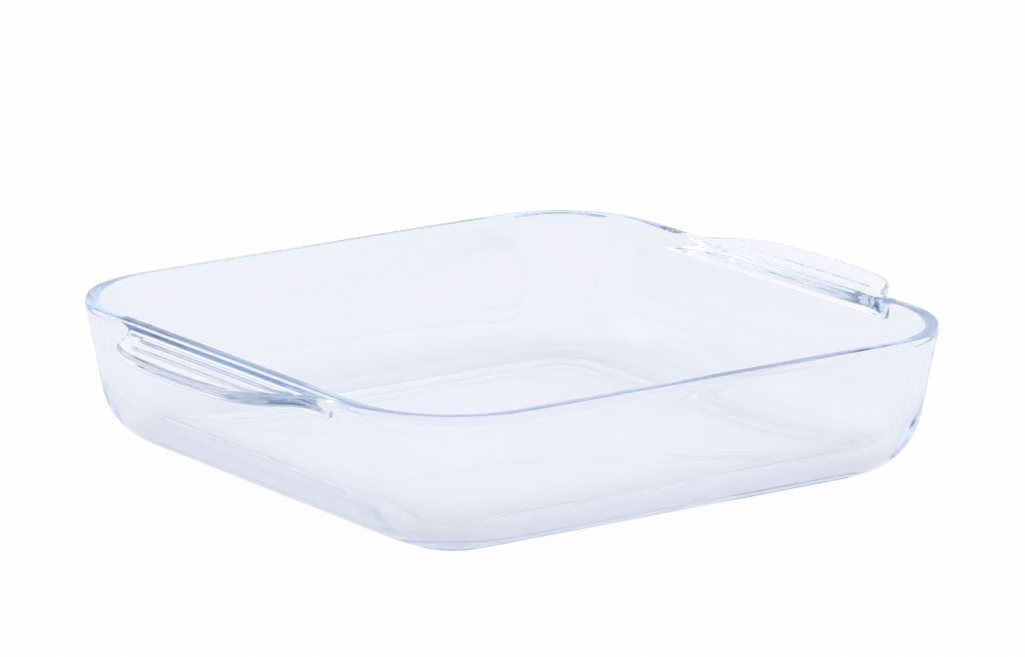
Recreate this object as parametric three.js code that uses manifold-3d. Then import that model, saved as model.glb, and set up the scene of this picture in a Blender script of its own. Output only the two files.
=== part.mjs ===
// Square glass baking dish with two flat lug handles.
// Millimetres, +Z up, origin at the middle of the face that the dish stands on.
// The real dish is pressed in one piece. Here it is divided where its form changes: the floor,
// the wall with its heel, the rim and the two handles are solids that meet as one rigid body.
import * as THREE from "three";
import { mergeVertices, toCreasedNormals } from "three/addons/utils/BufferGeometryUtils.js";
import Module from "manifold-3d";

const wasm = await Module();
wasm.setup();

// Body
const bodySide = 230; // across the rim, outside, without the handles
const totalHeight = 52;
const cornerRadius = 40; // outside of the rim, in plan
const wallThickness = 5;
const wallDraft = 10.4; // degrees that the wall leans out
const heelRadius = 24; // outside, between the wall and the underside
const innerHeelRadius = 23; // inside, between the wall and the floor: the glass is thicker there
const floorThickness = 5.3; // over the recess

// Rim
const partingDrop = 2.6; // the mould's parting line below the top, where the rim's upright side ends
const rimRadius = 0.9; // outer edge
const innerRimRadius = 2; // inner edge, softer
const rimDepth = 9.5; // height of the band that carries the handles

// Foot under the floor
const footHeight = 0.7; // of the lowest point of the heel's whole round above the table
const heelStopAngle = 80; // degrees down round the heel, where the foot cuts it off
const footRadius = 0.6;
const standingWidth = 9; // of the ring that rests on the table
const recessDepth = 0.4;
const recessRun = 30; // slope between the ring and the recess
const smallestCorner = 4; // in plan, where an inset would use the corner radius up

// Lug handles
const lugReach = 23; // beyond the rim
const lugThickness = 4.2;
const lugDrop = 1.7; // top of the lug below the top of the rim
const lugCrownRadius = 240; // bow of the outer edge
const lugCrownHalf = 27; // half the length of the bowed stretch
const lugCornerRadius = 27;
const lugFlankAngle = 50; // degrees between the flank and the rim
const lugShoulderRadius = 19; // hollow that runs into the wall
const lugEdgeRadius = 1.3;
const seatGap = 0.3; // between a lug and the wall that it grows from

// Grip ribs under each lug, along the rim
const ribStart = 4.2; // first rib's middle, out from the rim
const ribPitch = 6.9;
const ribRadius = 2.4; // twice this is less than a rib's height and the lug's thickness together
const ribHeight = 0.7;
const ribEndMargin = 7; // from a rib's end to the lug's round corner
const ribEdgeMargin = 8; // least distance of a rib's middle from the lug's outer edge

// Facets
const cornerSteps = 16;
const heelSteps = 9;
const floorEdgeSteps = 3;
const rimSteps = 6;
const footSteps = 3;
const lugCurveSteps = 6;
const lugEdgeSteps = 3;
const ribSides = 16;
const ribCapSteps = 3;
const creaseAngle = 0.5; // radians between faces that are shaded as a sharp edge
const samePoint = 1e-4; // points closer than this are one

const draft = THREE.MathUtils.degToRad(wallDraft);
const heelStop = THREE.MathUtils.degToRad(heelStopAngle);
const flank = THREE.MathUtils.degToRad(lugFlankAngle);
const half = bodySide / 2;
const partingHeight = totalHeight - partingDrop;
const rimBottom = totalHeight - rimDepth;
const floorTop = recessDepth + floorThickness;

// Profiles are lists of [inset, height]: inset is measured in from the rim's outer edge.

// Inset at a height of the plane that lies so deep in the wall, along its normal.
function wallInset(height, depth) {
  return (depth + (partingHeight - height) * Math.sin(draft)) / Math.cos(draft);
}

// Points on an arc about a centre in the profile, with angles from the outward direction up.
function arc([inset, height], radius, from, to, steps) {
  return Array.from({ length: steps + 1 }, (_, i) => {
    const angle = from + ((to - from) * i) / steps;
    return [inset - radius * Math.cos(angle), height + radius * Math.sin(angle)];
  });
}

// Rounded square of the dish at an inset.
function outline(inset) {
  const radius = Math.max(cornerRadius - inset, smallestCorner);
  const centre = half - inset - radius;
  const points = [];
  for (let corner = 0; corner < 4; corner++) {
    const start = (corner * Math.PI) / 2;
    const signX = corner === 0 || corner === 3 ? 1 : -1;
    const signY = corner < 2 ? 1 : -1;
    for (let i = 0; i <= cornerSteps; i++) {
      const angle = start + (i * Math.PI) / (2 * cornerSteps);
      points.push([
        signX * centre + radius * Math.cos(angle),
        signY * centre + radius * Math.sin(angle),
      ]);
    }
  }
  return points;
}

// Solid between the profile's outlines: a ring where the profile closes on itself,
// otherwise a block with its first and last outline filled. Profiles run from top to bottom outside.
function sweep(profile, ring) {
  const count = outline(0).length;
  const positions = [];
  const index = [];
  for (const [inset, height] of profile) {
    for (const [x, y] of outline(inset)) positions.push(x, y, height);
  }
  const bands = ring ? profile.length : profile.length - 1;
  for (let band = 0; band < bands; band++) {
    const upper = band * count;
    const lower = ((band + 1) % profile.length) * count;
    for (let i = 0; i < count; i++) {
      const next = (i + 1) % count;
      index.push(upper + i, lower + i, lower + next, upper + i, lower + next, upper + next);
    }
  }
  if (!ring) {
    const last = (profile.length - 1) * count;
    for (let i = 1; i < count - 1; i++) {
      index.push(0, i, i + 1, last, last + i + 1, last + i);
    }
  }
  const geometry = new THREE.BufferGeometry();
  geometry.setAttribute("position", new THREE.Float32BufferAttribute(positions, 3));
  geometry.setIndex(index);
  return geometry;
}

function toSolid(geometry) {
  const bare = geometry.clone();
  bare.deleteAttribute("normal");
  bare.deleteAttribute("uv");
  const merged = mergeVertices(bare, samePoint);
  return new wasm.Manifold(
    new wasm.Mesh({
      numProp: 3,
      vertProperties: merged.attributes.position.array,
      triVerts: new Uint32Array(merged.index.array),
    }),
  );
}

function toGeometry(solid) {
  const mesh = solid.getMesh();
  const geometry = new THREE.BufferGeometry();
  geometry.setAttribute("position", new THREE.BufferAttribute(mesh.vertProperties, 3));
  geometry.setIndex(new THREE.BufferAttribute(mesh.triVerts, 1));
  return geometry;
}

// Each heel's round touches its face of the wall, and the inner one also touches the floor.
const heelCentre = [wallInset(footHeight + heelRadius, heelRadius), footHeight + heelRadius];
const innerHeelCentre = [
  wallInset(floorTop + innerHeelRadius, wallThickness + innerHeelRadius),
  floorTop + innerHeelRadius,
];
// The wall and the floor panel meet upright, above the outer face of the foot.
const floorEdge = heelCentre[0] - heelRadius * Math.cos(heelStop);
const innerStop = Math.acos((innerHeelCentre[0] - floorEdge) / innerHeelRadius);

function floorPanel() {
  const ringStart = floorEdge + footRadius;
  const ringEnd = ringStart + standingWidth;
  return sweep(
    [
      ...arc(innerHeelCentre, innerHeelRadius, -Math.PI / 2, -innerStop, floorEdgeSteps),
      ...arc([ringStart, footRadius], footRadius, 0, -Math.PI / 2, footSteps),
      [ringEnd, 0],
      [ringEnd + recessRun, recessDepth],
    ],
    false,
  );
}

function sideWall() {
  return sweep(
    [
      [wallInset(rimBottom, 0), rimBottom],
      ...arc(heelCentre, heelRadius, -draft, -heelStop, heelSteps),
      ...arc(innerHeelCentre, innerHeelRadius, -innerStop, -draft, heelSteps),
      [wallInset(rimBottom, wallThickness), rimBottom],
    ],
    true,
  );
}

// The inner round touches the top and the wall's inner face, the outer one the top and the upright side.
function rim() {
  const innerHeight = totalHeight - innerRimRadius;
  const innerCentre = [wallInset(innerHeight, wallThickness - innerRimRadius), innerHeight];
  return sweep(
    [
      ...arc(innerCentre, innerRimRadius, Math.PI - draft, Math.PI / 2, rimSteps),
      ...arc([rimRadius, totalHeight - rimRadius], rimRadius, Math.PI / 2, 0, rimSteps),
      [0, partingHeight],
      [wallInset(rimBottom, 0), rimBottom],
      [wallInset(rimBottom, wallThickness), rimBottom],
    ],
    true,
  );
}

// Plan of a lug, with u along the rim and v out from it. Its arcs run into one another.
const crownAngle = Math.asin(lugCrownHalf / lugCrownRadius);
const crownCentre = [0, lugReach - lugCrownRadius];
const lugCorner = [
  lugCrownHalf - lugCornerRadius * Math.sin(crownAngle),
  crownCentre[1] + (lugCrownRadius - lugCornerRadius) * Math.cos(crownAngle),
];
// The flank leaves the corner's round and meets the shoulder's, which touches the rim's edge.
const flankStart = [
  lugCorner[0] + lugCornerRadius * Math.sin(flank),
  lugCorner[1] + lugCornerRadius * Math.cos(flank),
];
const flankDrop = flankStart[1] - lugShoulderRadius * (1 - Math.cos(flank));
const lugShoulder = [
  flankStart[0] + flankDrop / Math.tan(flank) + lugShoulderRadius * Math.sin(flank),
  lugShoulderRadius,
];

function lugShape() {
  const right = Math.PI / 2;
  const shape = new THREE.Shape();
  shape.moveTo(-lugShoulder[0], -wallThickness);
  shape.lineTo(lugShoulder[0], -wallThickness);
  shape.absarc(...lugShoulder, lugShoulderRadius, -right, -right - flank, true);
  shape.absarc(...lugCorner, lugCornerRadius, right - flank, right - crownAngle, false);
  shape.absarc(...crownCentre, lugCrownRadius, right - crownAngle, right + crownAngle, false);
  shape.absarc(-lugCorner[0], lugCorner[1], lugCornerRadius, right + crownAngle, right + flank, false);
  shape.absarc(-lugShoulder[0], lugShoulder[1], lugShoulderRadius, -right + flank, -right, true);
  shape.closePath();
  return shape;
}

// Block that fills the dish up to its outer face, grown by the seat gap, to trim the lugs with.
function seatBlock() {
  const margin = rimDepth;
  return sweep(
    [
      [-seatGap, totalHeight + margin],
      [-seatGap, partingHeight],
      [wallInset(rimBottom, 0) - seatGap, rimBottom],
      [wallInset(rimBottom, 0) - seatGap, rimBottom - margin],
    ],
    false,
  );
}

// One lug on the +Y side of the dish: its plan extruded with round edges, ribbed underneath.
function lug() {
  const underside = totalHeight - lugDrop - lugThickness;
  const plate = new THREE.ExtrudeGeometry(lugShape(), {
    depth: lugThickness - 2 * lugEdgeRadius,
    curveSegments: lugCurveSteps,
    bevelThickness: lugEdgeRadius,
    bevelSize: lugEdgeRadius,
    bevelOffset: -lugEdgeRadius,
    bevelSegments: lugEdgeSteps,
  }).translate(0, half, underside + lugEdgeRadius);
  let solid = toSolid(plate);
  for (let v = ribStart; v <= lugReach - ribEdgeMargin; v += ribPitch) {
    const cornerReach = Math.sqrt(lugCornerRadius ** 2 - (v - lugCorner[1]) ** 2);
    const straight = 2 * (lugCorner[0] + cornerReach - ribEndMargin - ribRadius);
    const rib = new THREE.CapsuleGeometry(ribRadius, straight, ribCapSteps, ribSides)
      .rotateZ(Math.PI / 2)
      .translate(0, half + v, underside - ribHeight + ribRadius);
    solid = solid.add(toSolid(rib));
  }
  return toGeometry(solid.subtract(toSolid(seatBlock())));
}

const glass = { color: 0xdfe8f6, roughness: 0.04, metalness: 0, transparent: true, opacity: 0.4 };

function piece(name, geometry) {
  const mesh = new THREE.Mesh(
    toCreasedNormals(geometry, creaseAngle),
    new THREE.MeshStandardMaterial(glass),
  );
  mesh.name = name;
  return mesh;
}

const dish = new THREE.Group();
dish.add(piece("base_panel", floorPanel()));
dish.add(piece("side_wall", sideWall()));
dish.add(piece("rim", rim()));

const lugGeometry = lug();
for (const [name, turn] of [
  ["left_handle", Math.PI / 2],
  ["right_handle", -Math.PI / 2],
]) {
  const handle = piece(name, lugGeometry);
  handle.rotation.z = turn;
  dish.add(handle);
}

export default dish;
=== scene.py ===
import math

import bmesh
import bpy
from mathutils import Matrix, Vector


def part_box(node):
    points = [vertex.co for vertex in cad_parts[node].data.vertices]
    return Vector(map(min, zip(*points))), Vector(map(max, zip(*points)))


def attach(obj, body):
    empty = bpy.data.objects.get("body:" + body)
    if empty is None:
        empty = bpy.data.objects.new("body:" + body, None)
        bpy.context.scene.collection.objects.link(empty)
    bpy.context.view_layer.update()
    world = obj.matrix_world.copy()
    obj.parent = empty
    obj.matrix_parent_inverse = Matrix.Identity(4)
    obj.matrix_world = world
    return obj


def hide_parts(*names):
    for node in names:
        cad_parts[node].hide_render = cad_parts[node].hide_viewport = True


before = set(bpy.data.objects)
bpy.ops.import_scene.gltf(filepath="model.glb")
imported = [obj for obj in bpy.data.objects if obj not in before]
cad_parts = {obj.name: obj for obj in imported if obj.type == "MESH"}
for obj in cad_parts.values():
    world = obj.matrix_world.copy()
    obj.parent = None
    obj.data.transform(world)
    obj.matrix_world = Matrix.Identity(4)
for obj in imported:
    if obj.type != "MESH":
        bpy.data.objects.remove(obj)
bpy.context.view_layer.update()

mm = 0.001


# camera, fitted to the photograph's outline of the dish
camera = {
    "place": (-1.3989, -1.9918, 0.6590),
    "azimuth": math.radians(-35.110),
    "elevation": math.radians(14.166),
    "lens": 261.0,  # mm on the sensor below
    "sensor": 36.0,
    "clipEnd": 60.0,
}


def makeCamera(values):
    bpy.ops.object.select_all(action="DESELECT")
    bpy.ops.object.camera_add(location=values["place"])
    cam = bpy.context.object
    flat = math.cos(values["elevation"])
    back = Vector((
        math.sin(values["azimuth"]) * flat,
        -math.cos(values["azimuth"]) * flat,
        math.sin(values["elevation"]),
    ))
    cam.rotation_euler = (-back).to_track_quat("-Z", "Y").to_euler()
    cam.data.lens = values["lens"]
    cam.data.sensor_width = values["sensor"]
    cam.data.clip_end = values["clipEnd"]
    bpy.context.scene.camera = cam
    print("camera placed")


makeCamera(camera)


# glass dish: driving sizes, the rest comes from the frame
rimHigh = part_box("rim")[1]
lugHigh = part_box("right_handle")[1]
near = 0.1 * mm  # how close counts as lying on a plane

dish = {
    "half": rimHigh.x,
    "top": rimHigh.z,
    "floorTop": 5.7 * mm,
    "cornerRadius": 40 * mm,
    "cornerCuts": 8,
    "sideCuts": 5,  # on the two plain sides
    "wall": 5 * mm,
    "draft": math.radians(10.4),
    "rimRadius": 0.9 * mm,  # outer edge of the rim
    "rimSteps": 3,
    "innerRimRadius": 2.0 * mm,
    "innerRimSteps": 4,
    "collar": 2.6 * mm,  # upright part of the rim, above the leaning wall
    "seamDrop": 2.75 * mm,  # parting line below the top of the rim
    "seamHeight": 0.25 * mm,  # how far the parting line stands out
    "seamWidth": 0.24 * mm,
    "innerRows": (0.18, 0.6),  # down the inner wall, from the rim to the heel
    "outerRows": (0.12, 0.6),  # and down the outer wall, from the lugs
    "heelRadius": 24 * mm,
    "innerHeelRadius": 23 * mm,  # the glass is thicker in the heel
    "heelSteps": 6,
    "floorBorder": 4 * mm,  # flat row of the floor beside the inner heel
    "footHeight": 0.7 * mm,
    "footAngle": math.radians(80),  # where the heel's round stops above the foot
    "footRun": 1.6 * mm,
    "footCurve": ((0.33, 0.8), (0.62, 0.2), (1, 0)),  # shares of the foot's run and height
    "ringRun": 7.5 * mm,  # of the standing ring, by inset
    "ringScale": 0.96,  # the rest of the ring, by scaling
    "recessScale": 0.55,
    "recessDepth": 0.25 * mm,
    "recessFloorScale": 0.9,  # last row inside the recess
    "smoothing": 2,
    "smoothAngle": math.radians(40),
}

lug = {
    "top": lugHigh.z,
    "underside": lugHigh.z - 4.2 * mm,
    "reach": lugHigh.x - rimHigh.x,
    "crownRadius": 240 * mm,
    "crownHalf": 27 * mm,
    "cornerRadius": 27 * mm,
    "flank": math.radians(50),
    "shoulderRadius": 19 * mm,
    "creaseRise": 0.3 * mm,  # of the fillet on the lug, where it meets the rim
    "creaseRun": 1.2 * mm,
    "rootDrop": 1.6 * mm,  # of the fillet under the lug, where it meets the wall
    "rootRun": 2.6 * mm,
    "slabBand": 3 * mm,  # the slab's outer faces lie within this of the rim's side
    "rings": 13,  # from the wall to the edge of the plate
    "firstRing": 0.35 * mm,
    "edgeRun": 1.7 * mm,  # from the flat of the plate to its outer edge
    "plateShare": 0.66,  # least part of the reach that stays flat
    "edgeRound": 0.45 * mm,
    "edgeRoundShare": 0.1,  # most of the reach that the round takes
    "edgeSlope": 0.6,  # height of the round for its run
    "columns": [0, 6, 12, 18, 23, 28, 33, 37, 41, 45, 49, 53, 57, 60.5, 64.5],  # mm along the rim
    "ribStart": 4.2 * mm,  # middle of the first grip rib from the rim
    "ribPitch": 6.9 * mm,
    "ribCount": 2,
    "ribHeight": 0.5 * mm,
    "ribGain": 1.5,  # smoothing takes a third of a rib off
    "ribMargin": 7 * mm,
    "ribFade": 5 * mm,  # run of a rib's end
}


def wallInset(height, depth):
    # inset of the plane that lies so deep in the leaning wall
    seam = dish["top"] - dish["collar"]
    return (depth + (seam - height) * math.sin(dish["draft"])) / math.cos(dish["draft"])


def arcPoints(centre, radius, start, end, steps):
    # [inset, height] points on a round of the profile, angles from the outward direction up
    points = []
    for i in range(steps + 1):
        angle = start + (end - start) * i / steps
        points.append((centre[0] - radius * math.cos(angle), centre[1] + radius * math.sin(angle)))
    return points


def lugReach(along):
    # how far the lug stands out from the rim at a place along it
    crownAngle = math.asin(lug["crownHalf"] / lug["crownRadius"])
    crownDrop = lug["reach"] - lug["crownRadius"]
    corner = (
        lug["crownHalf"] - lug["cornerRadius"] * math.sin(crownAngle),
        crownDrop + (lug["crownRadius"] - lug["cornerRadius"]) * math.cos(crownAngle),
    )
    flankStart = (
        corner[0] + lug["cornerRadius"] * math.sin(lug["flank"]),
        corner[1] + lug["cornerRadius"] * math.cos(lug["flank"]),
    )
    flankDrop = flankStart[1] - lug["shoulderRadius"] * (1 - math.cos(lug["flank"]))
    flankEnd = flankStart[0] + flankDrop / math.tan(lug["flank"])
    shoulder = flankEnd + lug["shoulderRadius"] * math.sin(lug["flank"])
    place = abs(along)
    if place <= lug["crownHalf"]:
        return crownDrop + math.sqrt(lug["crownRadius"] ** 2 - place ** 2)
    if place <= flankStart[0]:
        return corner[1] + math.sqrt(lug["cornerRadius"] ** 2 - (place - corner[0]) ** 2)
    if place <= flankEnd:
        return flankStart[1] - (place - flankStart[0]) * math.tan(lug["flank"])
    if place < shoulder:
        return lug["shoulderRadius"] - math.sqrt(lug["shoulderRadius"] ** 2 - (place - shoulder) ** 2)
    return 0.0


def selectWhere(kind, test):
    # selects the verts, edges or faces whose middle passes the test
    bpy.ops.mesh.select_all(action="DESELECT")
    bpy.ops.mesh.select_mode(type={"verts": "VERT", "edges": "EDGE", "faces": "FACE"}[kind])
    mesh = bmesh.from_edit_mesh(bpy.context.edit_object.data)
    for item in getattr(mesh, kind):
        if kind == "verts":
            middle = item.co
        else:
            middle = sum((v.co for v in item.verts), Vector()) / len(item.verts)
        item.select_set(bool(test(item, middle)))
    mesh.select_flush_mode()
    bmesh.update_edit_mesh(bpy.context.edit_object.data)


def cutAcross(axis, place, test):
    # cuts the faces that pass the test by a plane square to an axis
    selectWhere("faces", test)
    point = [0.0, 0.0, 0.0]
    normal = [0.0, 0.0, 0.0]
    point[axis] = place
    normal[axis] = 1.0
    bpy.ops.mesh.bisect(plane_co=point, plane_no=normal)


def followProfile(points, last, sign):
    # insets the selected cap from profile point to profile point
    for inset, height in points:
        bpy.ops.mesh.inset(thickness=inset - last[0], depth=sign * (height - last[1]))
        last = (inset, height)
    return last


def startSlab():
    # block between the parting line and the lugs' underside, with round corners and columns
    seam = dish["top"] - dish["seamDrop"]
    bottom = lug["underside"] - lug["rootDrop"]
    size = (2 * dish["half"], 2 * dish["half"], seam - bottom)
    bpy.ops.object.select_all(action="DESELECT")
    bpy.ops.mesh.primitive_cube_add(size=1, location=(0, 0, (seam + bottom) / 2), scale=size)
    bpy.context.object.name = "dish_glass"
    bpy.ops.object.transform_apply(location=True, rotation=True, scale=True)
    bpy.ops.object.mode_set(mode="EDIT")
    selectWhere("edges", lambda e, m: abs(e.verts[0].co.z - e.verts[1].co.z) > near)
    bpy.ops.mesh.bevel(offset=dish["cornerRadius"], segments=dish["cornerCuts"], affect="EDGES")

    onHandleSide = lambda f, m: abs(m.x) > dish["half"] - near
    onPlainSide = lambda f, m: abs(m.y) > dish["half"] - near
    for column in lug["columns"]:
        for place in {column * mm, -column * mm}:
            cutAcross(1, place, onHandleSide)
    straight = dish["half"] - dish["cornerRadius"]
    for i in range(1, dish["sideCuts"] + 1):
        cutAcross(0, straight * (2 * i / (dish["sideCuts"] + 1) - 1), onPlainSide)

    # rows: one just under the parting line, one in the middle of the lug's edge
    isSide = lambda f, m: abs(f.normal.z) < 0.5
    rows = [seam - dish["seamWidth"], (seam + lug["underside"]) / 2]
    for height in rows:
        cutAcross(2, height, isSide)
    for height in rows + [bottom]:
        share = 1 - max(wallInset(height, 0), dish["seamHeight"]) / dish["half"]
        selectWhere("verts", lambda v, m: abs(m.z - height) < near / 10)
        bpy.ops.transform.resize(value=(share, share, 1))
    print("slab ready")


def raiseRim():
    # from the parting line over the rim and down inside to the floor
    seam = dish["top"] - dish["seamDrop"]
    lean = dish["draft"]
    flank = dish["seamHeight"]
    outer = dish["rimRadius"]
    outerCentre = (flank + outer, dish["top"] - outer)
    inner = dish["innerRimRadius"]
    innerCentre = (wallInset(dish["top"] - inner, dish["wall"] - inner), dish["top"] - inner)
    heelHeight = dish["floorTop"] + dish["innerHeelRadius"]
    heelCentre = (wallInset(heelHeight, dish["wall"] + dish["innerHeelRadius"]), heelHeight)
    heelStart = heelCentre[1] - dish["innerHeelRadius"] * math.sin(lean)
    points = [(flank, seam + dish["seamWidth"]), (flank, lug["top"] + lug["creaseRise"])]
    points += arcPoints(outerCentre, outer, 0, math.pi / 2, dish["rimSteps"])
    points += arcPoints(innerCentre, inner, math.pi / 2, math.pi - lean, dish["innerRimSteps"])
    wallTop = points[-1][1]
    for share in dish["innerRows"]:
        height = wallTop + (heelStart - wallTop) * share
        points.append((wallInset(height, dish["wall"]), height))
    points += arcPoints(heelCentre, dish["innerHeelRadius"], -lean, -math.pi / 2, dish["heelSteps"])
    points.append((heelCentre[0] + dish["floorBorder"], dish["floorTop"]))
    selectWhere("faces", lambda f, m: f.normal.z > 0.9)
    followProfile(points, (0.0, seam), 1)
    print("rim, inner wall and floor raised")


def lowerWall():
    # from the lugs' underside down the outer wall, round the heel and under the foot
    lean = dish["draft"]
    heelHeight = dish["footHeight"] + dish["heelRadius"]
    heelCentre = (wallInset(heelHeight, dish["heelRadius"]), heelHeight)
    heelStart = heelCentre[1] - dish["heelRadius"] * math.sin(lean)
    bottom = lug["underside"] - lug["rootDrop"]
    points = []
    for share in dish["outerRows"]:
        height = bottom + (heelStart - bottom) * share
        points.append((wallInset(height, 0), height))
    points += arcPoints(heelCentre, dish["heelRadius"], -lean, -dish["footAngle"], dish["heelSteps"])
    footInset, footTop = points[-1]
    for run, rise in dish["footCurve"]:
        points.append((footInset + run * dish["footRun"], rise * footTop))
    points.append((footInset + dish["footRun"] + dish["ringRun"], 0.0))
    selectWhere("faces", lambda f, m: f.normal.z < -0.9)
    followProfile(points, (wallInset(bottom, 0), bottom), -1)
    for share, lift in (
        (dish["ringScale"], 0),
        (dish["recessScale"], dish["recessDepth"]),
        (dish["recessFloorScale"], 0),
    ):
        bpy.ops.mesh.extrude_region_move(TRANSFORM_OT_translate={"value": (0, 0, lift)})
        bpy.ops.transform.resize(value=(share, share, 1))
    print("outer wall, heel and foot lowered")


def ribDrop(along, out):
    # how far a grip rib hangs below the lug's underside at a place along and out from the rim
    first = lug["ribStart"] - lug["ribPitch"] / 2
    if not first < out < first + lug["ribCount"] * lug["ribPitch"]:
        return 0.0
    halfLength = 0.0
    while lugReach(halfLength + lug["ribMargin"]) > out:
        halfLength += 0.5 * mm
    fade = min(max((halfLength - abs(along)) / lug["ribFade"], 0.0), 1.0)
    wave = (1 - math.cos(2 * math.pi * (out - first) / lug["ribPitch"])) / 2
    return lug["ribGain"] * lug["ribHeight"] * wave * fade


def pullLug(side):
    # extrudes one lug from its stretch of the slab, ring by ring
    seam = dish["top"] - dish["seamDrop"]
    bottom = lug["underside"] - lug["rootDrop"]
    end = lug["columns"][-1] * mm
    half = dish["half"]
    selectWhere("faces", lambda f, m: (
        side * m.x > half - lug["slabBand"]
        and abs(m.y) < end
        and bottom < m.z < lug["top"] + lug["creaseRise"]
        and side * f.normal.x > 0.5
    ))
    ringStep = lug["ribPitch"] / 4
    for ring in range(lug["rings"] + 1):
        bpy.ops.mesh.extrude_region_move()
        mesh = bmesh.from_edit_mesh(bpy.context.edit_object.data)
        for v in mesh.verts:
            if not v.select or abs(v.co.y) > end - near:
                continue  # the end columns stay in the wall
            reach = lugReach(v.co.y)
            plate = max(reach - lug["edgeRun"], lug["plateShare"] * reach)
            if ring == lug["rings"]:
                out = reach
            else:
                out = min(lug["firstRing"] + ring * ringStep, plate * (ring + 1) / lug["rings"])
            if v.co.z > lug["top"] - near:
                v.co.z = lug["top"] + lug["creaseRise"] * max(1 - out / lug["creaseRun"], 0.0) ** 2
            if v.co.z < lug["underside"] + 3 * near:
                fillet = max(1 - out / lug["rootRun"], 0.0) ** 2
                v.co.z = lug["underside"] - lug["rootDrop"] * fillet - ribDrop(v.co.y, out)
            onTop = v.co.z > lug["top"] - near
            onUnderside = v.co.z < lug["underside"] + near
            if ring == lug["rings"] and (onTop or onUnderside):
                rounded = min(lug["edgeRound"], lug["edgeRoundShare"] * reach)
                out -= rounded
                v.co.z += rounded * lug["edgeSlope"] * (-1 if v.co.z > seam else 1)
            v.co.x = side * (half + out)
        bmesh.update_edit_mesh(bpy.context.edit_object.data)
    bpy.ops.mesh.select_all(action="SELECT")
    bpy.ops.mesh.remove_doubles(threshold=near / 50)  # closes the ends
    print("lug pulled on side", side)


def makeDish():
    startSlab()
    raiseRim()
    lowerWall()
    for side in (-1, 1):
        pullLug(side)
    bpy.ops.mesh.select_all(action="SELECT")
    bpy.ops.mesh.normals_make_consistent(inside=False)
    bpy.ops.object.mode_set(mode="OBJECT")
    body = bpy.context.object
    smooth = body.modifiers.new("smooth", "SUBSURF")
    smooth.levels = dish["smoothing"]
    smooth.render_levels = dish["smoothing"]
    bpy.ops.object.modifier_apply(modifier=smooth.name)
    bpy.ops.object.select_all(action="DESELECT")
    body.select_set(True)
    bpy.context.view_layer.objects.active = body
    bpy.ops.object.shade_smooth_by_angle(angle=dish["smoothAngle"])
    print("dish finished:", len(body.data.polygons), "faces")
    return body


# clear glass with a faint blue body colour
glass = {
    "ior": 1.474,
    "roughness": 0.0,
    "waveScale": 14.0,  # faint waves of the pressed surface
    "waveDetail": 1.0,
    "waveStrength": 0.02,
    "waveHeight": 1 * mm,
    "absorbColour": (0.22, 0.46, 0.7, 1),
    "absorbDensity": 3.1,  # per metre
}


def makeGlass():
    material = bpy.data.materials.new("clear_glass")
    material.use_nodes = True
    nodes = material.node_tree.nodes
    links = material.node_tree.links
    shader = nodes["Principled BSDF"]
    shader.inputs["Base Color"].default_value = (1, 1, 1, 1)
    shader.inputs["Roughness"].default_value = glass["roughness"]
    shader.inputs["IOR"].default_value = glass["ior"]
    shader.inputs["Transmission Weight"].default_value = 1.0
    place = nodes.new("ShaderNodeTexCoord")
    wave = nodes.new("ShaderNodeTexNoise")
    wave.inputs["Scale"].default_value = glass["waveScale"]
    wave.inputs["Detail"].default_value = glass["waveDetail"]
    bump = nodes.new("ShaderNodeBump")
    bump.inputs["Strength"].default_value = glass["waveStrength"]
    bump.inputs["Distance"].default_value = glass["waveHeight"]
    links.new(place.outputs["Object"], wave.inputs["Vector"])
    links.new(wave.outputs["Fac"], bump.inputs["Height"])
    links.new(bump.outputs["Normal"], shader.inputs["Normal"])
    absorb = nodes.new("ShaderNodeVolumeAbsorption")
    absorb.inputs["Color"].default_value = glass["absorbColour"]
    absorb.inputs["Density"].default_value = glass["absorbDensity"]
    links.new(absorb.outputs["Volume"], nodes["Material Output"].inputs["Volume"])
    print("glass mixed")
    return material


# pale floor, white room and soft lamps
stage = {
    "floorSize": 40.0,
    "floorDrop": 0.3 * mm,
    "floorColour": (0.88, 0.89, 0.945, 1),
    "floorGlow": (0.98, 0.98, 1.0, 1),  # what glass shows of the floor
    "shadowShare": 0.06,  # of the floor's own shading in what the camera sees straight
    "glassShadowShare": 0.9,  # and in what the glass shows
    "horizon": (0.975, 0.98, 1.02, 1),  # what glass shows of the room, low down
    "overhead": (0.98, 0.99, 1.02, 1),  # and high up, between the lamps
    "horizonTop": math.sin(math.radians(22)),
    "overheadStart": math.sin(math.radians(48)),
    "openLight": (0.69, 0.69, 0.7, 1),  # of the room on the open floor
    "throughGlass": (1.335, 1.36, 1.455, 1),  # and on the floor under the dish, past the glass
    "lamps": {  # place, size and power
        "back": ((-1.42, 1.42, 1.81), 2.8, 10.0),
        "left": ((-0.78, -0.78, 2.47), 2.8, 14.0),
        "right": ((1.42, -1.42, 1.81), 2.8, 14.4),
    },
    "bounces": 64,  # light runs far along inside the rim
}


def rayKind(nodes, links, *kinds):
    # 1 for a ray of one of the kinds, such as those that the camera sends straight
    path = nodes.new("ShaderNodeLightPath")
    found = path.outputs[kinds[0]]
    for kind in kinds[1:]:
        either = nodes.new("ShaderNodeMath")
        either.operation = "MAXIMUM"
        links.new(found, either.inputs[0])
        links.new(path.outputs[kind], either.inputs[1])
        found = either.outputs[0]
    return found


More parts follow.
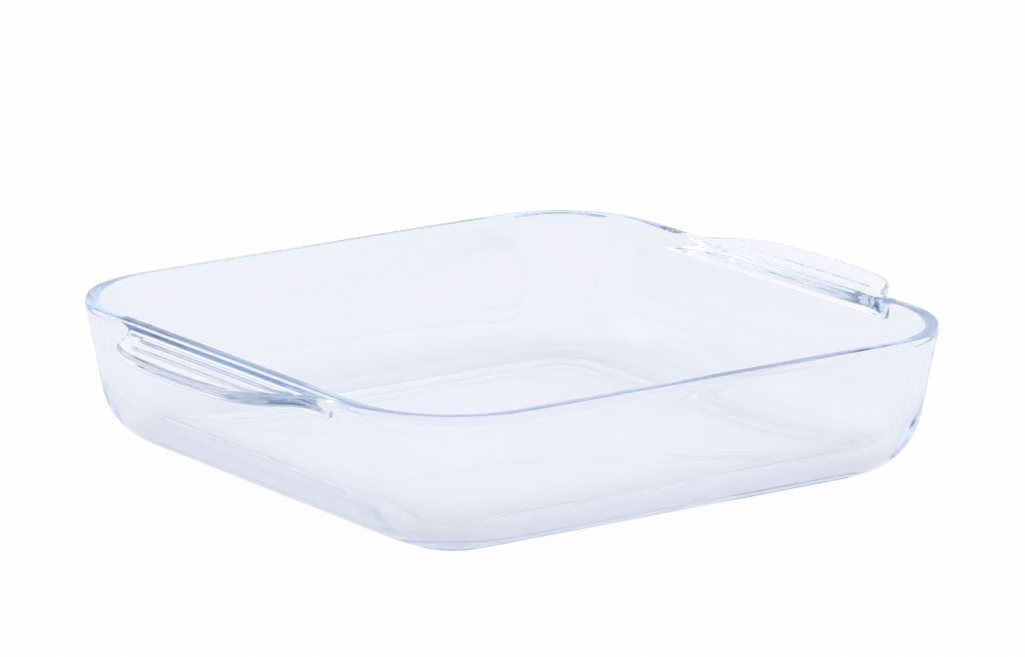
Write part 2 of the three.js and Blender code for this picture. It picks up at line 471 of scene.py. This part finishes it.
def makeFloor():
    bpy.ops.object.select_all(action="DESELECT")
    bpy.ops.mesh.primitive_plane_add(size=stage["floorSize"], location=(0, 0, -stage["floorDrop"]))
    floor = bpy.context.object
    floor.name = "floor"
    material = bpy.data.materials.new("pale_floor")
    material.use_nodes = True
    nodes = material.node_tree.nodes
    links = material.node_tree.links
    nodes.remove(nodes["Principled BSDF"])
    matt = nodes.new("ShaderNodeBsdfDiffuse")
    matt.inputs["Color"].default_value = stage["floorColour"]
    shown = matt.outputs[0]
    for colour, share, kinds in (
        (stage["floorGlow"], stage["glassShadowShare"], ("Is Glossy Ray", "Is Transmission Ray")),
        ((1, 1, 1, 1), stage["shadowShare"], ("Is Camera Ray",)),
    ):
        glow = nodes.new("ShaderNodeEmission")
        glow.inputs["Color"].default_value = colour
        pale = nodes.new("ShaderNodeMixShader")
        pale.inputs[0].default_value = share
        links.new(glow.outputs[0], pale.inputs[1])
        links.new(matt.outputs[0], pale.inputs[2])
        pick = nodes.new("ShaderNodeMixShader")
        links.new(rayKind(nodes, links, *kinds), pick.inputs[0])
        links.new(shown, pick.inputs[1])
        links.new(pale.outputs[0], pick.inputs[2])
        shown = pick.outputs[0]
    links.new(shown, nodes["Material Output"].inputs["Surface"])
    floor.data.materials.append(material)
    print("floor laid")


def makeWorld():
    world = bpy.data.worlds.new("studio")
    bpy.context.scene.world = world
    world.use_nodes = True
    nodes = world.node_tree.nodes
    links = world.node_tree.links
    way = nodes.new("ShaderNodeTexCoord")
    parts = nodes.new("ShaderNodeSeparateXYZ")
    links.new(way.outputs["Generated"], parts.inputs[0])
    rise = nodes.new("ShaderNodeMapRange")
    rise.interpolation_type = "SMOOTHSTEP"
    rise.inputs["From Min"].default_value = stage["horizonTop"]
    rise.inputs["From Max"].default_value = stage["overheadStart"]
    links.new(parts.outputs["Z"], rise.inputs["Value"])
    room = nodes.new("ShaderNodeMixRGB")
    room.inputs[1].default_value = stage["horizon"]
    room.inputs[2].default_value = stage["overhead"]
    links.new(rise.outputs["Result"], room.inputs[0])
    shown = room.outputs[0]
    for colour, kind in (
        (stage["throughGlass"], "Diffuse Depth"),
        (stage["openLight"], "Is Diffuse Ray"),
        ((1, 1, 1, 1), "Is Camera Ray"),
    ):
        pick = nodes.new("ShaderNodeMixRGB")
        links.new(rayKind(nodes, links, kind), pick.inputs[0])
        links.new(shown, pick.inputs[1])
        pick.inputs[2].default_value = colour
        shown = pick.outputs[0]
    links.new(shown, nodes["Background"].inputs["Color"])
    world.cycles.sampling_method = "NONE"  # so that every ray is told by its kind
    print("world set")


def makeLamps():
    for name, (place, size, power) in stage["lamps"].items():
        bpy.ops.object.light_add(type="AREA", location=place)
        lamp = bpy.context.object
        lamp.name = name + "_lamp"
        lamp.data.energy = power
        lamp.data.size = size
        lamp.visible_glossy = False  # the reflections stay even, as in the photograph
        lamp.rotation_euler = (-Vector(place)).to_track_quat("-Z", "Y").to_euler()
    cycles = bpy.context.scene.cycles
    cycles.max_bounces = stage["bounces"]
    cycles.glossy_bounces = stage["bounces"]
    cycles.transmission_bounces = stage["bounces"]
    print("lamps hung")


body = makeDish()
body.data.materials.clear()
body.data.materials.append(makeGlass())
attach(body, "root")
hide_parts("base_panel", "side_wall", "rim", "left_handle", "right_handle")
makeFloor()
makeWorld()
makeLamps()
bpy.context.scene.view_settings.view_transform = "Standard"
